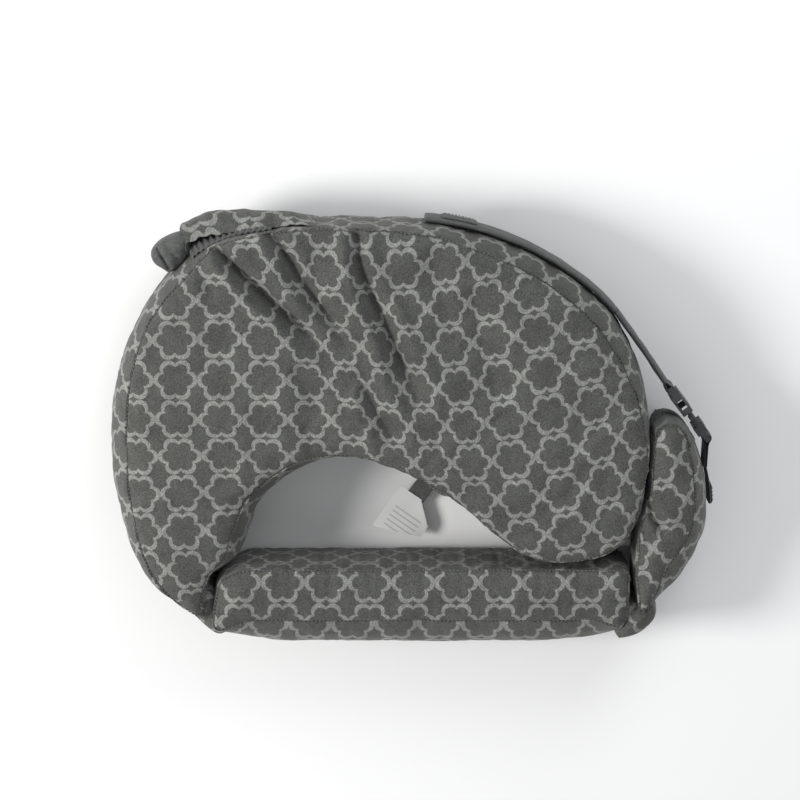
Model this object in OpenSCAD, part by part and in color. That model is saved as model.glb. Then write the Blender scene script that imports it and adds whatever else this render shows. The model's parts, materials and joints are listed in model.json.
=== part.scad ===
// Wrap-around nursing pillow: a crescent cushion, a backrest and a side wing joined by fabric folds,
// and a belt with a side-release buckle. It lies flat: +Z up, the underside at z = 0, the waist opening near
// the origin and the backrest towards -Y. Millimetres.

/* [Cushions] */
// Height of the crescent cushion
cushion_h = 115; // [95:1:135]
// Height of the backrest and of the side wing
band_h = 110; // [95:1:135]
// Thickness of the plush covers
cover_t = 2.4; // [1.6:0.1:3]
// Slack between a cover and its foam
slack = 0.4; // [0.3:0.1:0.6]

/* [Pocket] */
// Room between the pocket's panel and the cushion's wall
pocket_room = 8; // [6:0.5:10]
// Height of the pocket's elastic rim above the underside
pocket_top = 98; // [80:1:105]
// Thickness of the pocket's panel
pocket_t = 2.4; // [1.6:0.1:3]
// Height of the elastic rim band
elastic_h = 7; // [5:1:9]

/* [Belt] */
// Width of the fabric belt, which stands on edge
belt_w = 44; // [38:1:50]
// Thickness of the fabric belt
belt_t = 4; // [3:0.5:5]
// Height of the belt's lower edge
belt_z = 38; // [34:1:44]
// Width of the webbing on the wing
webbing_w = 34; // [28:1:36]
// Thickness of the webbing
webbing_t = 2.6; // [2:0.2:3]

/* [Buckle] */
// Thickness of the buckle's two halves
buckle_t = 11; // [10:0.5:12]
// Width of the buckle's two halves
buckle_w = 42; // [40:1:44]
// Radius of the bars that the webbing runs round
bar_r = 2; // [1.6:0.1:2.2]
// Thickness of the receiver's walls
wall_t = 2; // [1.6:0.1:2.2]

/* [Zipper] */
// Length of the zipper in the backrest's outer wall
zipper_l = 200; // [150:10:200]
// Height of the zipper's centre line
zipper_z = 24; // [22:1:40]
// Width of one zipper tape
tape_w = 6; // [5:0.5:7]
// Spacing of the zipper's teeth
tooth_pitch = 4; // [3:0.5:5]

/* [Label] */
// Width of the label
label_w = 48; // [40:1:52]
// Length of the label
label_l = 45; // [36:1:48]

/* [Hidden] */
$fn = 32;

plush = [0.36, 0.365, 0.34];
plain_cloth = [0.31, 0.315, 0.32];
foam_colour = [0.90, 0.87, 0.76];
label_colour = [0.93, 0.93, 0.92];
webbing_colour = [0.12, 0.12, 0.13];
plastic_colour = [0.10, 0.10, 0.11];
metal_colour = [0.62, 0.62, 0.63];

// The crescent in plan, from its left arm's outer corner over the top, round the right tip and along the
// waist opening to the left arm's inner corner. The wall runs smoothly through these points.
crescent_knots = [
    [-207, -192], [-249, -167], [-279, -125], [-296, -55], [-297, 20], [-280, 87], [-246, 147], [-198, 189],
    [-130, 204], [-50, 208], [31, 204], [97, 186], [153, 156], [199, 116], [229, 59], [238, -5],
    [233, -67], [213, -112], [173, -130], [124, -129], [85, -103], [40, -65], [-10, -39], [-67, -27],
    [-119, -46], [-151, -75], [-161, -102], [-174, -130], [-201, -146]
];
// Steps from one knot of an outline to the next
steps = 4;
// Places along the crescent's outline, counted in knots
pocket_from = 6.75;
pocket_to = 8.5;
belt_from = 9.75;
belt_to = 13;
tip_knot = 19;

// The side wing in plan, from its fold up the inner wall, round the end and down the outer wall
wing_knots = [
    [229, -188], [229, -136], [237, -106], [241, -60], [241, -4], [252, 12], [268, 11], [280, -5],
    [291, -32], [298, -68], [294, -110], [272, -152], [233, -190]
];
wing_cap_from = 4;
wing_cap_to = 7;

// The backrest: straight inner and outer walls, and the curves at the outer wall's two ends
back_inner_y = -135;
back_outer_y = -221;
back_left_end = [[-201, -195], [-196, -165], [-195, -152], [-190, -146], [-171, -137], [-160, back_inner_y]];
back_right_end = [[214, back_inner_y], [221, -141], [221, -190]];
back_right_curve = [[216, -204], [190, -214], [150, -220], [110, back_outer_y]];
back_left_curve = [[-100, back_outer_y], [-145, -219], [-180, -212], [-197, -205]];

// The two folds are vertical seams at the outer corners, and each foam end keeps clear of its seam
left_fold = [-205, -200];
right_fold = [226, -198];
seam_r = 2.6;
seam_clear = 0.5;

// The buckle's two bars, with the halves lying between them on one line
receiver_bar = [258, 40];
plug_bar = [296, -10];
buckle_line = plug_bar - receiver_bar;
buckle_turn = atan2(buckle_line[1], buckle_line[0]);
half_gap = 2.8;
half_l = (norm(buckle_line) - half_gap) / 2;
buckle_z = belt_z + belt_w / 2;

// The middle of the label's sewn edge, its turn in plan, its height and its thickness
label_at = [5, -80];
label_turn = -35;
label_z = 10;
label_t = 1.2;

// Layers of height
foam_z = cover_t + slack;
cushion_foam_top = cushion_h - cover_t - slack;
band_foam_top = band_h - cover_t - slack;

// A point of the curve that runs smoothly from b to c, with a and d as the knots on either side
function curve_point(a, b, c, d, t) =
    0.5 * (2 * b + (c - a) * t + (2 * a - 5 * b + 4 * c - d) * t * t + (3 * b - a - 3 * c + d) * t * t * t);
// An open curve through every knot
function smooth(knots) =
    let (last = len(knots) - 1)
    concat(
        [for (i = [0 : last - 1], s = [0 : steps - 1])
            let (before = i == 0 ? 2 * knots[0] - knots[1] : knots[i - 1])
            let (after = i == last - 1 ? 2 * knots[last] - knots[last - 1] : knots[i + 2])
            curve_point(before, knots[i], knots[i + 1], after, s / steps)],
        [knots[last]]
    );
function unit(v) = v / norm(v);
function left_of(v) = [-v[1], v[0]];
// The offset of one corner of a closed clockwise outline, positive towards the inside
function corner_shift(line, i, depth) =
    let (n = len(line))
    let (into = unit(line[i] - line[(i + n - 1) % n]))
    let (out = unit(line[(i + 1) % n] - line[i]))
    let (a = -left_of(into), b = -left_of(out))
    depth * (a + b) / (1 + a * b);
function inset(line, depth) = [for (i = [0 : len(line) - 1]) line[i] + corner_shift(line, i, depth)];
function part_of(line, from, to) = [for (i = [round(from * steps) : round(to * steps)]) line[i]];
function backwards(line) = [for (i = [len(line) - 1 : -1 : 0]) line[i]];
// A closed band that follows an outline between two depths
function band(line, from, to, outer, inner) =
    concat(part_of(inset(line, outer), from, to), backwards(part_of(inset(line, inner), from, to)));
function middle(line, at, depth) = inset(line, depth)[round(at * steps)];

crescent = smooth(crescent_knots);
crescent_last = len(crescent_knots) - 1;
wing = smooth(wing_knots);
wing_last = len(wing_knots) - 1;
right_curve = smooth(back_right_curve);
left_curve = smooth(back_left_curve);
backrest = concat(back_left_end, back_right_end, right_curve, left_curve);
foam_depth = cover_t + slack;
belt_depth = -(slack + belt_t / 2);
belt_hinge = middle(crescent, belt_to, belt_depth);

module slab(outline, low, high) {
    translate([0, 0, low]) linear_extrude(high - low) polygon(outline);
}

// Room for a fold's seam, cut from whatever reaches it
module fold_room(at, low, high) {
    translate([at[0], at[1], low]) cylinder(r = seam_r + seam_clear, h = high - low);
}

module fold_seam(at, high) {
    translate([at[0], at[1], cover_t]) cylinder(r = seam_r, h = high - 2 * cover_t);
}

// A cushion layer whose corner at a fold is cut clear of the seam
module folded_slab(outline, low, high, folds) {
    difference() {
        slab(outline, low, high);
        for (at = folds) fold_room(at, low - 1, high + 1);
    }
}

// ---- Crescent cushion ----

module cushion_foam() {
    color(foam_colour)
        folded_slab(inset(crescent, foam_depth), foam_z, cushion_foam_top, [left_fold]);
}

module cushion_top_cover() {
    color(plush) folded_slab(crescent, cushion_h - cover_t, cushion_h, [left_fold]);
}

module cushion_bottom_cover() {
    color(plush) folded_slab(crescent, 0, cover_t, [left_fold]);
}

module crescent_wall(from, to) {
    color(plush)
        folded_slab(band(crescent, from, to, 0, cover_t), foam_z, cushion_foam_top, [left_fold]);
}

module outer_wall_cover() {
    crescent_wall(0.25, tip_knot);
}

module waist_wall_cover() {
    crescent_wall(tip_knot + 0.25, crescent_last - 0.25);
}

// The short wall across the left arm's end, inside the fold
module arm_end_cover() {
    inner = inset(crescent, cover_t);
    last = len(crescent) - 1;
    color(plush)
        folded_slab(
            [crescent[last], crescent[0], inner[0], inner[last]],
            foam_z, cushion_foam_top, [left_fold]
        );
}

// A panel that stands off the outer wall, closed at both ends and underneath and open at the top
module pocket_panel() {
    face = -(slack + pocket_room + pocket_t);
    back = -(slack + pocket_room);
    end_knots = 0.25;
    shell = concat(
        part_of(inset(crescent, face), pocket_from, pocket_to),
        backwards(part_of(inset(crescent, -slack), pocket_to - end_knots, pocket_to)),
        backwards(part_of(inset(crescent, back), pocket_from + end_knots, pocket_to - end_knots)),
        backwards(part_of(inset(crescent, -slack), pocket_from, pocket_from + end_knots))
    );
    floor_z = 12;
    color(plush) union() {
        slab(shell, floor_z, pocket_top - elastic_h);
        slab(band(crescent, pocket_from, pocket_to, face, -slack), floor_z - pocket_t, floor_z);
    }
}

// The gathered band along the pocket's mouth
module pocket_elastic() {
    face = -(slack + pocket_room + pocket_t + 0.6);
    back = -(slack + pocket_room - 0.6);
    color(plain_cloth)
        slab(
            band(crescent, pocket_from, pocket_to, face, back),
            pocket_top - elastic_h + slack, pocket_top
        );
}

// A plain folded tab that sticks out of the wall beside the pocket
module fabric_tab() {
    tab_from = 6;
    tab_to = 6.5;
    tab_l = 26;
    color(plain_cloth)
        slab(band(crescent, tab_from, tab_to, -tab_l, -slack), 62, cushion_h - 14);
}

// The label lies low in the waist opening, and a strip of plain tape holds it to the wall
module place_label() {
    translate([label_at[0], label_at[1], label_z]) rotate([0, 0, label_turn]) children();
}

module sewn_label() {
    color(label_colour)
        place_label() translate([-label_w / 2, -label_l, 0]) cube([label_w, label_l, label_t]);
}

module label_tape() {
    overlap = 4;
    reach = 60;
    strip_w = 20;
    strip_t = 1;
    color(plain_cloth) difference() {
        place_label()
            translate([-strip_w / 2, -overlap, -strip_t]) cube([strip_w, overlap + reach, strip_t]);
        slab(inset(crescent, -slack / 2), 0, cushion_h);
    }
}

module belt_fixed_run() {
    reach = belt_t / 2 + 0.6;
    color(plain_cloth) difference() {
        slab(
            band(crescent, belt_from, belt_to, -(slack + belt_t), -slack),
            belt_z, belt_z + belt_w
        );
        translate([belt_hinge[0], belt_hinge[1], belt_z - 1]) cylinder(r = reach, h = belt_w + 2);
    }
}

// The stitched patch that holds the belt's end to the wall
module belt_anchor_patch() {
    margin = 5;
    patch_t = 1.6;
    face = -(2 * slack + belt_t);
    color(plain_cloth)
        slab(
            band(crescent, belt_from + 0.25, belt_from + 0.75, face - patch_t, face),
            belt_z + margin, belt_z + belt_w - margin
        );
}

module left_fold_seam() {
    color(plain_cloth) fold_seam(left_fold, band_h);
}

// ---- Backrest ----

module backrest_foam() {
    color(foam_colour)
        folded_slab(inset(backrest, foam_depth), foam_z, band_foam_top, [left_fold, right_fold]);
}

module backrest_top_cover() {
    color(plush) folded_slab(backrest, band_h - cover_t, band_h, [left_fold, right_fold]);
}

module backrest_bottom_cover() {
    color(plush) folded_slab(backrest, 0, cover_t, [left_fold, right_fold]);
}

module back_wall(from, to) {
    outer = [for (i = [from : to]) backrest[i]];
    depth_line = inset(backrest, cover_t);
    inner = [for (i = [from : to]) depth_line[i]];
    color(plush)
        folded_slab(concat(outer, backwards(inner)), foam_z, band_foam_top, [left_fold, right_fold]);
}

module backrest_inner_cover() {
    back_wall(2, 3);
}

module backrest_left_end_cover() {
    back_wall(0, 2);
}

module backrest_right_end_cover() {
    back_wall(3, 5);
}

// The outer wall has a slot, which the zipper fills
module backrest_outer_cover() {
    color(plush) difference() {
        back_wall(6, len(backrest) - 1);
        translate([-zipper_l / 2, back_outer_y - 1, zipper_z - tape_w - 1.4])
            cube([zipper_l, cover_t + 2, 2 * (tape_w + 1.4)]);
    }
}

module right_fold_seam() {
    color(plain_cloth) fold_seam(right_fold, band_h);
}

// ---- Zipper ----

tape_t = 1;
tape_gap = 0.6;
tape_y = back_outer_y + 0.8;
tooth_t = 2;
zipper_margin = 1;

module tape(low) {
    length = zipper_l - 2 * zipper_margin;
    color(plain_cloth) translate([-length / 2, tape_y, low]) cube([length, tape_t, tape_w]);
}

module zipper_upper_tape() {
    tape(zipper_z + tape_gap);
}

module zipper_lower_tape() {
    tape(zipper_z - tape_gap - tape_w);
}

// Teeth of the two sides in turn, on a thin coil that holds them
module zipper_teeth() {
    chain_l = zipper_l - 16;
    count = floor(chain_l / tooth_pitch);
    tooth_y = tape_y - 1;
    color(metal_colour) union() {
        translate([-chain_l / 2, tooth_y, zipper_z - 0.5]) cube([chain_l, 0.9, 1]);
        for (i = [0 : count - 1])
            translate([-chain_l / 2 + i * tooth_pitch, tooth_y - 0.2, zipper_z - (i % 2 == 0 ? 2.2 : 0.4)])
                cube([tooth_pitch * 0.55, 1.1, 2.6]);
    }
}

module stop(x) {
    color(metal_colour) translate([x - 1.5, tape_y - 1.6, zipper_z - 2.5]) cube([3, 1.5, 5]);
}

module zipper_left_stop() {
    stop(-zipper_l / 2 + 5);
}

module zipper_right_stop() {
    stop(zipper_l / 2 - 5);
}

slider_l = 11;
slider_x = -zipper_l / 2 + 14;
slider_y = tape_y - 3.6;
pull_pivot = [slider_x, slider_y - 2.2, zipper_z];

// A plate over the teeth, with a bridge that carries the pull's pin
module zipper_slider() {
    cheek_gap = 2.4;
    color(metal_colour) union() {
        translate([slider_x - slider_l / 2, slider_y, zipper_z - 4.5]) cube([slider_l, 1.8, 9]);
        for (side = [-1, 1])
            translate([slider_x + side * (cheek_gap + 0.8) - 0.8, slider_y - 3.4, zipper_z - 1.6])
                cube([1.6, 3.5, 3.2]);
        translate([slider_x - cheek_gap - 0.5, pull_pivot[1], zipper_z])
            rotate([0, 90, 0]) cylinder(r = 0.7, h = 2 * cheek_gap + 1);
    }
}

// The pull hangs from the pin and turns on it
module zipper_pull() {
    pull_l = 15;
    color(metal_colour) difference() {
        hull() {
            translate([slider_x - 1.8, pull_pivot[1], zipper_z]) rotate([0, 90, 0]) cylinder(r = 1.5, h = 3.6);
            translate([slider_x - 1.8, pull_pivot[1] - 0.8, zipper_z - pull_l]) cube([3.6, 1.6, 2]);
        }
        translate([slider_x - 3, pull_pivot[1], zipper_z])
            rotate([0, 90, 0]) cylinder(r = 1, h = 6);
    }
}

// ---- Side wing ----

module wing_foam() {
    color(foam_colour) folded_slab(inset(wing, foam_depth), foam_z, band_foam_top, [right_fold]);
}

module wing_top_cover() {
    color(plush) folded_slab(wing, band_h - cover_t, band_h, [right_fold]);
}

module wing_bottom_cover() {
    color(plush) folded_slab(wing, 0, cover_t, [right_fold]);
}

module wing_wall(from, to) {
    color(plush)
        folded_slab(band(wing, from, to, 0, cover_t), foam_z, band_foam_top, [right_fold]);
}

module wing_inner_cover() {
    wing_wall(0, wing_cap_from);
}

module wing_end_cap() {
    wing_wall(wing_cap_from + 0.25, wing_cap_to);
}

module wing_outer_cover() {
    wing_wall(wing_cap_to + 0.25, wing_last);
}

// Webbing along the outer wall, with a loop that holds the plug's bar
module wing_webbing() {
    low = buckle_z - webbing_w / 2;
    sewn_to = 9.25;
    sewn_from = 8.25;
    loop_r = bar_r + 0.6;
    root = middle(wing, sewn_from, -(slack + webbing_t / 2));
    color(webbing_colour) difference() {
        union() {
            slab(band(wing, sewn_from, sewn_to, -(slack + webbing_t), -slack), low, low + webbing_w);
            hull() {
                translate([plug_bar[0], plug_bar[1], low]) cylinder(r = webbing_t / 2, h = webbing_w);
                translate([root[0], root[1], low]) cylinder(r = webbing_t / 2, h = webbing_w);
            }
            translate([plug_bar[0], plug_bar[1], low]) cylinder(r = loop_r + webbing_t / 2, h = webbing_w);
        }
        translate([plug_bar[0], plug_bar[1], low - 1]) cylinder(r = loop_r, h = webbing_w + 2);
    }
}

module wing_webbing_patch() {
    margin = 4;
    patch_t = 1.6;
    face = -(2 * slack + webbing_t);
    color(plain_cloth)
        slab(
            band(wing, 8.75, 9.25, face - patch_t, face),
            buckle_z - webbing_w / 2 + margin, buckle_z + webbing_w / 2 - margin
        );
}

// ---- Belt ----

loop_wall = 2;

module belt_free_run() {
    gap = bar_r + 0.6 + loop_wall + slack;
    run = receiver_bar - belt_hinge;
    color(plain_cloth)
        translate([belt_hinge[0], belt_hinge[1], belt_z]) rotate([0, 0, atan2(run[1], run[0])]) union() {
            cylinder(r = belt_t / 2, h = belt_w);
            translate([0, -belt_t / 2, 0]) cube([norm(run) - gap, belt_t, belt_w]);
        }
}

// The belt's end folded round the receiver's bar
module belt_end_loop() {
    low = buckle_z - webbing_w / 2;
    loop_r = bar_r + 0.6;
    color(plain_cloth)
        translate([receiver_bar[0], receiver_bar[1], low]) difference() {
            cylinder(r = loop_r + loop_wall, h = webbing_w);
            translate([0, 0, -1]) cylinder(r = loop_r, h = webbing_w + 2);
        }
}

// ---- Buckle: each half is drawn from its bar along +X, its width along Z ----

frame_from = 7.5;
arm_t = (buckle_w - webbing_w) / 2 - 0.6;

// The bar and the two arms that join it to a half's body
module buckle_frame() {
    translate([0, 0, -buckle_w / 2]) cylinder(r = bar_r, h = buckle_w);
    for (low = [-buckle_w / 2, buckle_w / 2 - arm_t])
        translate([-bar_r, -buckle_t / 4, low]) cube([frame_from + bar_r + 1, buckle_t / 2, arm_t]);
}

module place_half(bar, turn) {
    translate([bar[0], bar[1], buckle_z]) rotate([0, 0, turn]) children();
}

module buckle_receiver() {
    mouth_from = frame_from + 3;
    window_from = 14;
    window_l = 10;
    room_t = buckle_t - 2 * wall_t;
    color(plastic_colour) place_half(receiver_bar, buckle_turn) difference() {
        union() {
            buckle_frame();
            translate([frame_from, -buckle_t / 2, -buckle_w / 2])
                cube([half_l - frame_from, buckle_t, buckle_w]);
        }
        translate([mouth_from, -room_t / 2, -buckle_w / 2 + wall_t])
            cube([half_l, room_t, buckle_w - 2 * wall_t]);
        translate([window_from, -room_t / 2, -buckle_w]) cube([window_l, room_t, 2 * buckle_w]);
    }
}

prong_root = frame_from + 8;
prong_z = buckle_w / 2 - 6.5;
root_r = 2.2;

module buckle_plug() {
    body_to = prong_root + 1;
    tongue_w = 9;
    tongue_t = 3.4;
    color(plastic_colour) place_half(plug_bar, buckle_turn + 180) difference() {
        union() {
            buckle_frame();
            translate([frame_from, -buckle_t / 2, -buckle_w / 2])
                cube([body_to - frame_from, buckle_t, buckle_w]);
            translate([frame_from, -tongue_t / 2, -tongue_w / 2])
                cube([half_l - frame_from - 1, tongue_t, tongue_w]);
        }
        for (side = [-1, 1])
            translate([prong_root, -buckle_t, side * prong_z])
                rotate([-90, 0, 0]) cylinder(r = root_r + 0.4, h = 2 * buckle_t);
    }
}

// A springy arm with a round root in the plug's body and a hooked tip
module prong(side) {
    arm_w = 3;
    prong_t = 5;
    hook = 3;
    tip = half_l - prong_root;
    color(plastic_colour) place_half(plug_bar, buckle_turn + 180)
        translate([prong_root, 0, side * prong_z]) union() {
            rotate([-90, 0, 0]) translate([0, 0, -prong_t / 2]) cylinder(r = root_r, h = prong_t);
            translate([0, -prong_t / 2, -arm_w / 2]) cube([tip, prong_t, arm_w]);
            translate([tip - 6, -prong_t / 2, side > 0 ? 0 : -hook])
                cube([4, prong_t, hook]);
        }
}

module buckle_upper_prong() {
    prong(1);
}

module buckle_lower_prong() {
    prong(-1);
}

cushion_foam();
cushion_top_cover();
cushion_bottom_cover();
outer_wall_cover();
waist_wall_cover();
arm_end_cover();
pocket_panel();
pocket_elastic();
fabric_tab();
sewn_label();
label_tape();
belt_fixed_run();
belt_anchor_patch();
left_fold_seam();
backrest_foam();
backrest_top_cover();
backrest_bottom_cover();
backrest_inner_cover();
backrest_outer_cover();
backrest_left_end_cover();
backrest_right_end_cover();
right_fold_seam();
zipper_upper_tape();
zipper_lower_tape();
zipper_teeth();
zipper_left_stop();
zipper_right_stop();
zipper_slider();
zipper_pull();
wing_foam();
wing_top_cover();
wing_bottom_cover();
wing_inner_cover();
wing_outer_cover();
wing_end_cap();
wing_webbing();
wing_webbing_patch();
belt_free_run();
belt_end_loop();
buckle_receiver();
buckle_plug();
buckle_upper_prong();
buckle_lower_prong();
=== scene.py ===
"""Looks for the wrap-around nursing pillow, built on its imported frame. Metres, +Z up."""

import json
import math

import bpy
import numpy as np
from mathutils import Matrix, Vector, noise
from mathutils.geometry import delaunay_2d_cdt
from mathutils.kdtree import KDTree


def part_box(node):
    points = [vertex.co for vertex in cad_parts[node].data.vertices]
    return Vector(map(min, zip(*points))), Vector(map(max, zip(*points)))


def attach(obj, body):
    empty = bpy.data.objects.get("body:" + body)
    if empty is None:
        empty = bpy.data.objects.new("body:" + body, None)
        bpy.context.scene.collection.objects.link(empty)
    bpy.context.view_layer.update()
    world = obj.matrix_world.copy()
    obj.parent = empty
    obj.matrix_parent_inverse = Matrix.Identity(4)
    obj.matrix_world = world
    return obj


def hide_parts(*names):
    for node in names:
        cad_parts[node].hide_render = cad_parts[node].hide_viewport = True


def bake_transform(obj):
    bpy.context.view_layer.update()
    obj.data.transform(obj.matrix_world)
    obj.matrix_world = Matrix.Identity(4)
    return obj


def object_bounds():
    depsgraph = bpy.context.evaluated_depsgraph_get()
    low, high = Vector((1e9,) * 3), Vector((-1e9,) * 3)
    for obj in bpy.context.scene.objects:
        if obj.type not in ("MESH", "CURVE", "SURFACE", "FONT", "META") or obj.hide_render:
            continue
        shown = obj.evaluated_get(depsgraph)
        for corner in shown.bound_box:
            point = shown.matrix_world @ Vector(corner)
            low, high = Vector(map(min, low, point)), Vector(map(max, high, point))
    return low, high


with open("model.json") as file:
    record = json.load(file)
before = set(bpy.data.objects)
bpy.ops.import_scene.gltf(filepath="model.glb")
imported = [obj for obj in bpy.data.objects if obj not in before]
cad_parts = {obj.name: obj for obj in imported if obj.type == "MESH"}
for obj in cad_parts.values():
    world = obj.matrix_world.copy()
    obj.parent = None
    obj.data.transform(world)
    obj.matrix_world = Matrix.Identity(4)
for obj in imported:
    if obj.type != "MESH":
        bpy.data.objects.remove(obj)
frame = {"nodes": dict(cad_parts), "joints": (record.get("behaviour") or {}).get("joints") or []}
cad_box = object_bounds()
joints = {j["name"]: Vector(j.get("pos_m", (0, 0, 0))) for j in frame["joints"]}
MM = 0.001

# ---- Sizes ----

MESH = 4 * MM  # spacing of the points on the plush covers
WALL_ROWS = 26
WALL_SHAPE = 2.4  # how suddenly a wall curves in towards its seams
SEAM_DEPTH = 2.6 * MM  # how far a sewn seam pulls into the padding
SEAM_RINGS = (1.5 * MM, 4 * MM)  # close rings of points inside a seam, which keep it crisp
SLACK = 0.4 * MM
FOAM_MESH = 9 * MM
FOLD_JOINTS = ("backrest_fold", "wing_fold")
FLOOR_HALF = 6  # half the floor's width, in metres
FLOOR_DROP = 0.5 * MM
TRELLIS_PITCH = (43.2, 40.9)  # spacing of the printed flowers, in mm
TRELLIS_INNER = (11.0, 6.3)
TRELLIS_OUTER = (13.7, 8.2)

GROUND = (0.078, 0.080, 0.073)
MOTIF = (0.215, 0.218, 0.203)
PLAIN = (0.088, 0.091, 0.088)
THREAD = (0.13, 0.133, 0.126)

CLOTH_FRAMES = 14
CLOTH = {  # how the covers' cloth behaves while it settles
    "quality": 5,
    "mass": 0.25,
    "tension_stiffness": 14,
    "compression_stiffness": 14,
    "shear_stiffness": 6,
    "bending_stiffness": 0.35,
    "air_damping": 4,
    "use_pressure": True,
    "uniform_pressure_force": 2.0,
    "shrink_min": -0.012,
    "pin_stiffness": 4,
}


# ---- Camera, lights and floor ----

CAMERA_TILT = math.radians(11)
CAMERA_FAR = 2.7
CAMERA_LENS = 124.2
VIEW_CENTRE = Vector((-0.010, 0.037, cad_box[1][2]))


def set_camera():
    data = bpy.data.cameras.new("camera")
    data.lens = CAMERA_LENS
    data.sensor_width = 36
    data.clip_end = 20
    camera = bpy.data.objects.new("camera", data)
    away = Vector((0, math.sin(CAMERA_TILT), math.cos(CAMERA_TILT)))
    camera.location = VIEW_CENTRE + away * CAMERA_FAR
    camera.rotation_euler = (-CAMERA_TILT, 0, 0)
    bpy.context.scene.collection.objects.link(camera)
    bpy.context.scene.camera = camera


def area_light(name, offset, size, power, tint):
    """A round light that looks at the view's centre from an offset away."""
    data = bpy.data.lights.new(name, "AREA")
    data.shape = "DISK"
    data.size = size
    data.energy = power
    data.color = tint
    light = bpy.data.objects.new(name, data)
    light.location = VIEW_CENTRE + Vector(offset)
    light.rotation_euler = (-Vector(offset)).to_track_quat("-Z", "Y").to_euler()
    bpy.context.scene.collection.objects.link(light)


def set_stage():
    world = bpy.data.worlds.new("studio")
    world.use_nodes = True
    background = world.node_tree.nodes["Background"].inputs
    background["Color"].default_value = (0.97, 0.98, 1, 1)
    background["Strength"].default_value = 0.55
    bpy.context.scene.world = world
    bpy.context.scene.view_settings.view_transform = "Standard"
    area_light("key", (-2.3, -0.1, 1.6), 0.9, 68, (1, 0.99, 0.97))
    area_light("fill", (0.9, 1.8, 1.3), 1.4, 20, (0.96, 0.98, 1))
    floor = bpy.data.meshes.new("floor")
    corners = [(x * FLOOR_HALF, y * FLOOR_HALF, 0) for x, y in ((-1, -1), (1, -1), (1, 1), (-1, 1))]
    floor.from_pydata(corners, [], [(0, 1, 2, 3)])
    floor_object = bpy.data.objects.new("floor", floor)
    floor_object.location.z = -FLOOR_DROP
    bpy.context.scene.collection.objects.link(floor_object)
    t = Tree("floor")
    t.surface.inputs["Base Color"].default_value = (0.90, 0.90, 0.90, 1)
    t.surface.inputs["Roughness"].default_value = 0.6
    floor.materials.append(t.material)


# ---- Materials ----


class Tree:
    """A material's node tree, with short calls for the nodes used here."""

    def __init__(self, name):
        self.material = bpy.data.materials.new(name)
        self.material.use_nodes = True
        self.tree = self.material.node_tree
        self.surface = self.tree.nodes["Principled BSDF"]

    def feed(self, socket, value):
        if isinstance(value, bpy.types.NodeSocket):
            self.tree.links.new(value, socket)
        else:
            socket.default_value = value

    def add(self, kind, inputs, **settings):
        made = self.tree.nodes.new(kind)
        for key, value in settings.items():
            setattr(made, key, value)
        for key, value in inputs.items():
            self.feed(made.inputs[key], value)
        return made

    def math(self, operation, *values):
        inputs = dict(enumerate(values))
        return self.add("ShaderNodeMath", inputs, operation=operation).outputs[0]

    def times(self, a, b):
        return self.math("MULTIPLY", a, b)

    def minus(self, a, b):
        return self.math("SUBTRACT", a, b)

    def gap(self, a, b):
        return self.math("ABSOLUTE", self.minus(a, b))

    def ramp(self, value, low, high, to_low=0.0, to_high=1.0):
        inputs = {"From Min": low, "From Max": high, "To Min": to_low, "To Max": to_high, "Value": value}
        return self.add("ShaderNodeMapRange", inputs, interpolation_type="SMOOTHSTEP").outputs["Result"]

    def place(self):
        return self.add("ShaderNodeTexCoord", {}).outputs["Object"]

    def grain(self, size, detail=2.0, roughness=0.55):
        """Noise whose features are about size metres across, fixed to the object."""
        inputs = {"Vector": self.place(), "Scale": 1 / size, "Detail": detail, "Roughness": roughness}
        return self.add("ShaderNodeTexNoise", inputs).outputs["Fac"]

    def mix(self, share, a, b, blend="MIX"):
        made = self.add("ShaderNodeMix", {}, data_type="RGBA", blend_type=blend)
        self.feed(made.inputs[0], share)
        for socket, value in zip((made.inputs[6], made.inputs[7]), (a, b)):
            self.feed(socket, (*value, 1) if isinstance(value, tuple) else value)
        return made.outputs[2]

    def shade(self, colour, light):
        """The colour, made lighter or darker by a grey factor."""
        grey = self.add("ShaderNodeCombineXYZ", {0: light, 1: light, 2: light}).outputs[0]
        return self.mix(1.0, colour, grey, "MULTIPLY")

    def fabric(self):
        """The cloth's own two coordinates, in metres."""
        uv = self.add("ShaderNodeUVMap", {}, uv_map="fabric").outputs["UV"]
        return self.add("ShaderNodeSeparateXYZ", {"Vector": uv}).outputs[:2]

    def bump(self, height, strength, distance, below=None):
        inputs = {"Height": height, "Strength": strength, "Distance": distance}
        if below is not None:
            inputs["Normal"] = below
        return self.add("ShaderNodeBump", inputs).outputs["Normal"]

    def finish(self, colour, roughness, normal, sheen=0.0, specular=0.3):
        self.feed(self.surface.inputs["Base Color"], colour)
        self.feed(self.surface.inputs["Roughness"], roughness)
        self.feed(self.surface.inputs["Normal"], normal)
        self.surface.inputs["Sheen Weight"].default_value = sheen
        self.surface.inputs["Sheen Roughness"].default_value = 0.45
        self.surface.inputs["Specular IOR Level"].default_value = specular
        return self.material


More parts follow.
